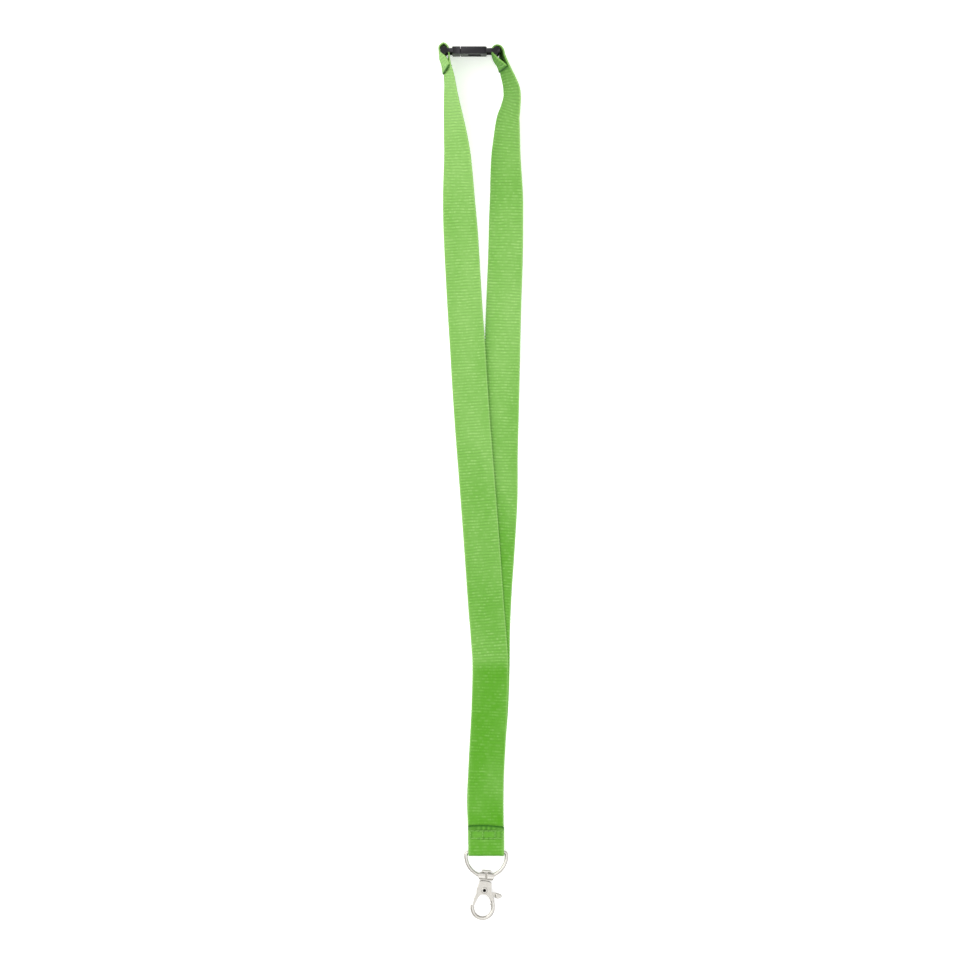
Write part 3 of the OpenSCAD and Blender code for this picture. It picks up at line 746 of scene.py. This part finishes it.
finishPiece(sewLoop(stitchSet["leftLoop"], -1), "leftLoopStitches", "plug_end", thread, barPlace,
            ["left_buckle_stitching"], 60)
finishPiece(sewLoop(stitchSet["rightLoop"], 1), "rightLoopStitches", "webbing_loop", thread, barPlace,
            ["right_buckle_stitching"], 60)
print("stitching sewn")

buckleSet = {
    "y": 442.4, "width": 24.0, "thick": 4.0, "seamX": -14.2, "seamGap": 0.2, "socketLength": 14.4,
    "plugHead": 4.5, "rail": 1.6, "railHalf": 1.05, "bar": 2.2, "socketBarX": 5.6, "plugBarX": -23.3, "boss": 2.0,
    "cavityHalf": 1.1, "tongueHalf": 0.95, "stepX": -7.0, "shoulder": 3.8, "room": 2.2,
    "edgeRound": 0.38, "innerRound": 0.18, "chamfer": 1.1, "plugCorner": 1.7, "tongueLow": 8.4, "tongueReach": 11.2,
    "windowX": (-10.1, -2.9), "windowLow": 6.5, "windowRound": 1.1,
    "ribX": -13.0, "ribStep": 0.95, "ribLow": 5.0, "ribRadius": 0.26, "ribSunk": 0.12,
}


def strapFrame(bodyX, barX):
    # two rails and the bar that the webbing folds over, their outer corners rounded
    b = buckleSet
    parts = []
    for z in (0, b["width"] - b["rail"]):
        rail = addBox((min(bodyX, barX), b["y"] - b["railHalf"], z),
                      (max(bodyX, barX), b["y"] + b["railHalf"], z + b["rail"]))
        roundEdges(rail, 0.25)
        parts.append(rail)
        boss = addRod((barX, b["y"], z), (barX, b["y"], z + b["rail"]), b["boss"], 40)
        roundEdges(boss, 0.3)
        parts.append(boss)
    return parts + [addRod((barX, b["y"], 0.3), (barX, b["y"], b["width"] - 0.3), b["bar"] / 2)]


b = buckleSet
x0 = b["seamX"] + b["seamGap"] / 2
x1 = b["seamX"] - b["seamGap"] / 2
yLow, yHigh = b["y"] - b["thick"] / 2, b["y"] + b["thick"] / 2

socket = addBox((x0, yLow, 0), (x0 + b["socketLength"], yHigh, b["width"]))
pickEdges(socket, lambda p, q: abs(p.x - q.x) < 0.1 and abs(p.z - q.z) < 0.1 and p.x > x0 + 1)
bpy.ops.mesh.bevel(offset=b["chamfer"], segments=1, affect="EDGES")  # chamfered corners beside the strap
endEdit()
roundEdges(socket, b["edgeRound"])
combine(socket, "DIFFERENCE", [
    addBox((x0 - 1, b["y"] - b["cavityHalf"], b["shoulder"]),
           (b["stepX"] + 1, b["y"] + b["cavityHalf"], b["width"] - b["shoulder"])),
    addBox((b["stepX"], b["y"] - b["cavityHalf"], b["room"]),
           (b["stepX"] + 5.4, b["y"] + b["cavityHalf"], b["width"] - b["room"])),
])
window = addBox((b["windowX"][0], yLow - 2, b["windowLow"]),
                (b["windowX"][1], yHigh + 2, b["width"] - b["windowLow"]))
roundEdges(window, b["windowRound"], 4)
combine(socket, "DIFFERENCE", [window])
combine(socket, "UNION", strapFrame(x0 + b["socketLength"] - 0.6, b["socketBarX"]))
# three shallow finger ribs on each broad face, beside the window
ribs = []
for side in (-1, 1):
    for k in range(3):
        x = b["ribX"] + k * b["ribStep"]
        ribY = b["y"] + side * (b["thick"] / 2 - b["ribSunk"])
        ribs.append(addRod((x, ribY, b["ribLow"]), (x, ribY, b["width"] - b["ribLow"]), b["ribRadius"], 12))
combine(socket, "UNION", ribs)
finishPiece(socket, "buckleSocket", "webbing_loop", acetal, barPlace, ["buckle_socket"], 35)

plug = addBox((x1 - b["plugHead"], yLow, 0), (x1, yHigh, b["width"]))
pickEdges(plug, lambda p, q: abs(p.x - q.x) < 0.1 and abs(p.z - q.z) < 0.1 and p.x < x1 - 1)
bpy.ops.mesh.bevel(offset=b["plugCorner"], segments=5, affect="EDGES")  # rounded corners beside the strap
endEdit()
roundEdges(plug, b["edgeRound"])
tongue = addBox((x1 - 0.5, b["y"] - b["tongueHalf"], b["tongueLow"]),
                (x1 + b["tongueReach"], b["y"] + b["tongueHalf"], b["width"] - b["tongueLow"]))
roundEdges(tongue, 0.3)
combine(plug, "UNION", [tongue] + strapFrame(x1 - b["plugHead"] + 0.6, b["plugBarX"]))
finishPiece(plug, "bucklePlug", "plug_end", acetal, barPlace, ["buckle_plug"], 35)

armOutline = [(x1 - 0.4, 5.6), (x1 - 0.4, 7.8), (-6.8, 7.8), (-5.7, 9.3), (-5, 9.3), (-3.4, 7.4), (-3.2, 5.6)]
for armName, node, side in (("upperLatchArm", "upper_latch_arm", 1), ("lowerLatchArm", "lower_latch_arm", -1)):
    arm = addPlate([(x, side * z) for x, z in armOutline], -b["tongueHalf"], b["tongueHalf"])
    roundEdges(arm, b["innerRound"])
    arm.matrix_world = Matrix.Translation((0, b["y"], b["width"] / 2)) @ Matrix.Rotation(math.pi / 2, 4, "X")
    finishPiece(arm, armName, "plug_end", acetal, barPlace, [node], 35)
print("buckle made")

ringSet = {"wire": 1.0, "radius": 11.25, "side": 2.05, "corner": 1.6, "height": 3.0}
r = ringSet
straight = r["radius"] - r["corner"]
ring = bentWire((0, 0, r["height"]), (1, 0, 0), r["wire"], [
    ("go", (straight, 0, 0)),
    ("turn", (straight, -r["corner"], r["height"]), (0, 0, -1), 90, 8),
    ("go", (0, -(r["side"] - r["corner"]), 0)),
    ("turn", (0, -r["side"], r["height"]), (0, 0, -1), 180, 48),
    ("go", (0, r["side"] - r["corner"], 0)),
    ("turn", (-straight, -r["corner"], r["height"]), (0, 0, -1), 90, 8),
    ("go", (straight, 0, 0))], sides=28, closed=True)
finishPiece(ring, "dRing", "ring", nickel, barPlace, ["d_ring"], 60)
print("ring bent")

eyeSet = {
    "y": 0.35, "bore": 1.7, "outer": 2.95, "half": 2.5, "voxel": 0.11, "lobeRadius": 2.9, "pinHole": 1.0,
    "strandY": (2.15, 3.42), "strandHalf": 2.25, "lobeHalf": 3.2, "footHalf": (3.3, 2.4), "footY": (-2.35, -0.9),
    "gaps": ((-2.2, 2.1), (1.7, 2.3)), "gapHalf": (0.95, 0.17), "seamAt": 2.8, "seamHalf": 0.42,
    "grooveY": -1.6, "grooveWidth": 0.38,
    "shoulders": [(-3.2, 2.0), (-4.6, 0.9), (-4.45, -0.5), (-3.4, -2.35), (3.4, -2.35), (4.45, -0.5), (4.6, 0.9),
                  (3.2, 2.0)],
}
e = eyeSet
archPart = addRod((-e["half"], e["y"], 0), (e["half"], e["y"], 0), e["outer"] - 0.1, 72)
strand = addBox((-e["half"] - 0.1, e["strandY"][0], -e["strandHalf"]),
                (e["half"] + 0.1, e["strandY"][1], e["strandHalf"]))
roundEdges(strand, 0.4, 4)
shoulders = addPlate(softOutline(e["shoulders"], 1), -e["lobeHalf"], e["lobeHalf"])
barrel = addRod((-6, e["y"], 0), (6, e["y"], 0), e["lobeRadius"], 72)
combine(shoulders, "INTERSECT", [barrel])
footX, footZ = e["footHalf"]
foot = addBox((-footX, e["footY"][0], -footZ), (footX, e["footY"][1], footZ))
eye = joinParts([archPart, strand, shoulders, foot])
applyModifier(eye, "REMESH", mode="VOXEL", voxel_size=e["voxel"])
cuts = [addRod((-6, e["y"], 0), (6, e["y"], 0), e["bore"], 48),
        addBox((-6, -4, -4), (6, -2.3, 4)), addRod((0, -1.5, 0), (0, -4, 0), e["pinHole"], 32)]
for side in (-1, 1):
    clearPick()
    bpy.ops.mesh.primitive_cone_add(vertices=40, radius1=e["bore"] + 1.1, radius2=e["bore"], depth=2.0,
                                    location=(side * 4.3, e["y"], 0), rotation=(0, side * -math.pi / 2, 0))
    applyPlace()
    cuts.append(bpy.context.object)
gapLong, gapWide = e["gapHalf"]
for gapX, gapY in e["gaps"]:  # the gap between the arch and each lobe
    for up in (-1, 1):
        cuts.append(addBox((gapX - gapLong, gapY - gapWide, up * 1.3), (gapX + gapLong, gapY + gapWide, up * 4)))
for up in (-1, 1):  # the seam where the two lobes meet
    seam = addBox((-e["seamHalf"], -3.0, -e["seamHalf"]), (e["seamHalf"], 1.75, e["seamHalf"]))
    seam.matrix_world = Matrix.Translation((0, 0, up * e["seamAt"])) @ Matrix.Rotation(math.pi / 4, 4, "Y")
    makeActive(seam)
    applyPlace()
    cuts.append(seam)
for up in (-1, 1):  # groove above the foot's rim
    cuts.append(addBox((-3.6, e["grooveY"], up * 1.7), (3.6, e["grooveY"] + e["grooveWidth"], up * 4)))
combine(eye, "DIFFERENCE", cuts)
castSkin(eye, e["voxel"], 3)
finishPiece(eye, "swivelEye", "eye", nickel, hookPlace, ["swivel_eye"], 60)

pinProfile = [(0.0, -1.6), (1.0, -1.6), (1.0, -3.7), (1.45, -3.75), (1.6, -3.9), (1.6, -4.35), (1.4, -4.55),
              (0.0, -4.55)]
pin = turnedShape(pinProfile, 40)
pin.matrix_world = Matrix.Rotation(math.radians(-90), 4, "X")
finishPiece(pin, "swivelPin", "eye", nickel, hookPlace, ["swivel_pin"], 40)
print("swivel made")

hookSet = {
    "thick": 5.0, "bar": 1.12, "bend": (-0.4, -17.6), "bendRadius": 5.7, "armRadius": 14.0, "armAngle": 26.0,
    "pivot": (-0.26, -7.8), "gateRadius": 10.6, "sweepRoom": 0.15, "slot": 1.9, "voxel": 0.13, "tipY": -15.9,
    "rivetHole": 1.25, "seat": 2.25, "seatAt": 2.38, "pinHole": 1.06, "pinHeadRoom": 1.75,
    "nub": (4.15, -15.1, 0.15), "nubRadius": 0.62, "partingAt": 2.42, "mark": (-3.15, -2.95),
    "head": [
        (-3.35, -2.5), (3.2, -2.5), (3.6, -6), (3.95, -8.6), (4.6, -9.9), (5.1, -11.4), (5.3, -13), (3.5, -13.4),
        (3, -12), (2, -10.85), (0.7, -10), (-2, -10.2), (-4.5, -10.35), (-4.65, -8.5), (-4.55, -6.9), (-3.8, -5),
        (-3.45, -3.5)],
    "slotOutline": [(-6, -5.2), (6, -5.2), (6, -12), (2.4, -11.8), (0, -14), (-6, -14)],
}
h = hookSet
bendX, bendY = h["bend"]
pivotX, pivotY = h["pivot"]


def pivotRod(low, high, radius, sides):
    return addRod((pivotX, pivotY, low), (pivotX, pivotY, high), radius, sides)


head = addPlate(softOutline(h["head"], 2), -h["thick"] / 2, h["thick"] / 2)
roundEdges(head, 0.75, 4, 60)
combine(head, "DIFFERENCE", [addPlate(h["slotOutline"], -h["slot"] / 2, h["slot"] / 2)])
armEnd = (bendX + h["bendRadius"] - h["armRadius"], bendY)
bar = bentWire((bendX - h["bendRadius"], h["tipY"], 0), (0, -1, 0), h["bar"], [
    ("go", (0, bendY - h["tipY"], 0)),
    ("turn", (bendX, bendY, 0), (0, 0, 1), 180, 40),
    ("turn", (armEnd[0], armEnd[1], 0), (0, 0, 1), h["armAngle"], 12)], sides=24)
clearPick()
bpy.ops.mesh.primitive_uv_sphere_add(segments=24, ring_count=16, radius=h["nubRadius"], location=h["nub"],
                                     scale=(1.0, 1.25, 1.1))
nub = bpy.context.object
applyPlace()
hook = joinParts([head, bar, nub])
castSkin(hook, h["voxel"], 3)
combine(hook, "DIFFERENCE", [
    pivotRod(-4, 4, h["rivetHole"], 40),
    pivotRod(h["seatAt"], 4, h["seat"], 48), pivotRod(-4, -h["seatAt"], h["seat"], 48),  # seats for the rivet's ends
    addRod((0, 1, 0), (0, -4, 0), h["pinHole"], 32), addRod((0, -3.7, 0), (0, -4.75, 0), h["pinHeadRoom"], 40),
    # parting lines of the mould, and an ejector mark beside them
    addBox((-0.07, -5.4, h["partingAt"]), (0.07, -2.0, 4)),
    addBox((-1.5, -3.16, h["partingAt"]), (1.5, -3.04, 4)),
    addRod((*h["mark"], 1.2), (*h["mark"], 4), 0.3, 20)])
# the round end of the gate swings past the tip
sweep = pivotRod(-4, 4, h["gateRadius"] + h["sweepRoom"], 160)
keep = addBox((-9, -18.5, -5), (-3, -12.5, 5))
combine(sweep, "INTERSECT", [keep])
combine(hook, "DIFFERENCE", [sweep])
finishPiece(hook, "hookBody", "hook", nickel, hookPlace, ["hook_body"], 40)

gateSet = {
    "thick": 1.7, "padThick": 3.6, "padX": 5.5, "disc": 2.48, "bore": 1.3, "voxel": 0.1,
    "pocket": 2.0, "pocketZ": (-2.05, -0.05),
    "gate": [
        (-0.26, -7.8), (-3.6, -7.9), (-4.3, -9.3), (-4.85, -10.5), (-5.5, -12.3), (-6.05, -15.6), (-6.3, -19),
        (-5.3, -19), (-4.95, -16.4), (-4.05, -14), (-3.2, -11.9), (-1.6, -10)],
    "tab": [
        (-0.26, -7.8), (3.2, -8.5), (8.3, -8.95), (9.5, -9.5), (9.8, -10.3), (9, -11.2), (7.6, -11.8),
        (6.6, -11.6), (5.9, -11.1), (3.2, -10.9)],
}
g = gateSet
half = g["thick"] / 2
pocketLow, pocketHigh = g["pocketZ"]
gate = addPlate(g["gate"], -half, half)
reach = pivotRod(-3, 3, h["gateRadius"], 160)
combine(gate, "INTERSECT", [reach])
tab = addPlate(softOutline(g["tab"], 1), -half, half)
disc = pivotRod(-half, half, g["disc"], 56)
padOutline = [p for p in g["tab"] if p[0] > g["padX"]] + [(5.9, -8.75)]
pad = addPlate(softOutline(padOutline, 1), -g["padThick"] / 2, g["padThick"] / 2)
roundEdges(pad, 0.6, 4, 60)
lever = joinParts([gate, tab, disc, pad])
castSkin(lever, g["voxel"], 3)
combine(lever, "DIFFERENCE", [
    pivotRod(-3, 3, g["bore"], 40),
    pivotRod(pocketLow, pocketHigh, g["pocket"], 48),
    # room for the spring's legs as the lever turns
    addBox((pivotX - 2.2, pivotY, pocketLow), (pivotX + 0.4, pivotY + 4, pocketHigh)),
    addBox((pivotX + 0.2, pivotY - 2.75, pocketLow), (pivotX + 2.0, pivotY, pocketHigh))])
finishPiece(lever, "gateLever", "gate", nickel, hookPlace, ["gate_lever"], 40)

# semi-tubular rivet: a solid head below, a blind hole in the rolled end above
rivetSet = {"shank": 1.25, "head": 1.74, "under": 1.7, "crown": 1.5, "lip": 0.3, "hole": 0.8, "mouth": 0.95,
            "depth": 2.2}
v = rivetSet
rivetTop = h["thick"] / 2
rivetProfile = [
    (0.0, -rivetTop - v["lip"]), (v["crown"], -rivetTop - v["lip"]), (v["head"], -rivetTop - 0.12),
    (v["under"], -rivetTop), (v["shank"], -rivetTop), (v["shank"], rivetTop), (v["under"], rivetTop),
    (v["head"], rivetTop + 0.12), (v["crown"], rivetTop + v["lip"]), (v["mouth"], rivetTop + v["lip"]),
    (v["hole"], rivetTop + 0.16), (v["hole"], rivetTop - 1.9), (0.0, rivetTop - v["depth"])]
rivet = turnedShape(rivetProfile, 48)
rivet.matrix_world = Matrix.Translation((pivotX, pivotY, 0))
finishPiece(rivet, "gateRivet", "hook", nickel, hookPlace, ["gate_rivet"], 35)
rivet.data.materials.append(holeShadePaint)  # the hole's inside is painted near-black, a painted shade
holeTop = (hookPlace @ Vector((0, 0, rivetTop + 0.1))).z
holeAt = hookPlace @ Vector((pivotX, pivotY, 0))
# faces inside the hole take the painted shade
for rivetFace in rivet.data.polygons:
    away = rivetFace.center - holeAt
    if math.hypot(away.x, away.y) < (v["hole"] + 0.01) / 1000 and holeAt.z < rivetFace.center.z < holeTop:
        rivetFace.material_index = 1
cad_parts["gate_spring"].data.materials.clear()
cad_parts["gate_spring"].data.materials.append(springSteel)
print("hook made")
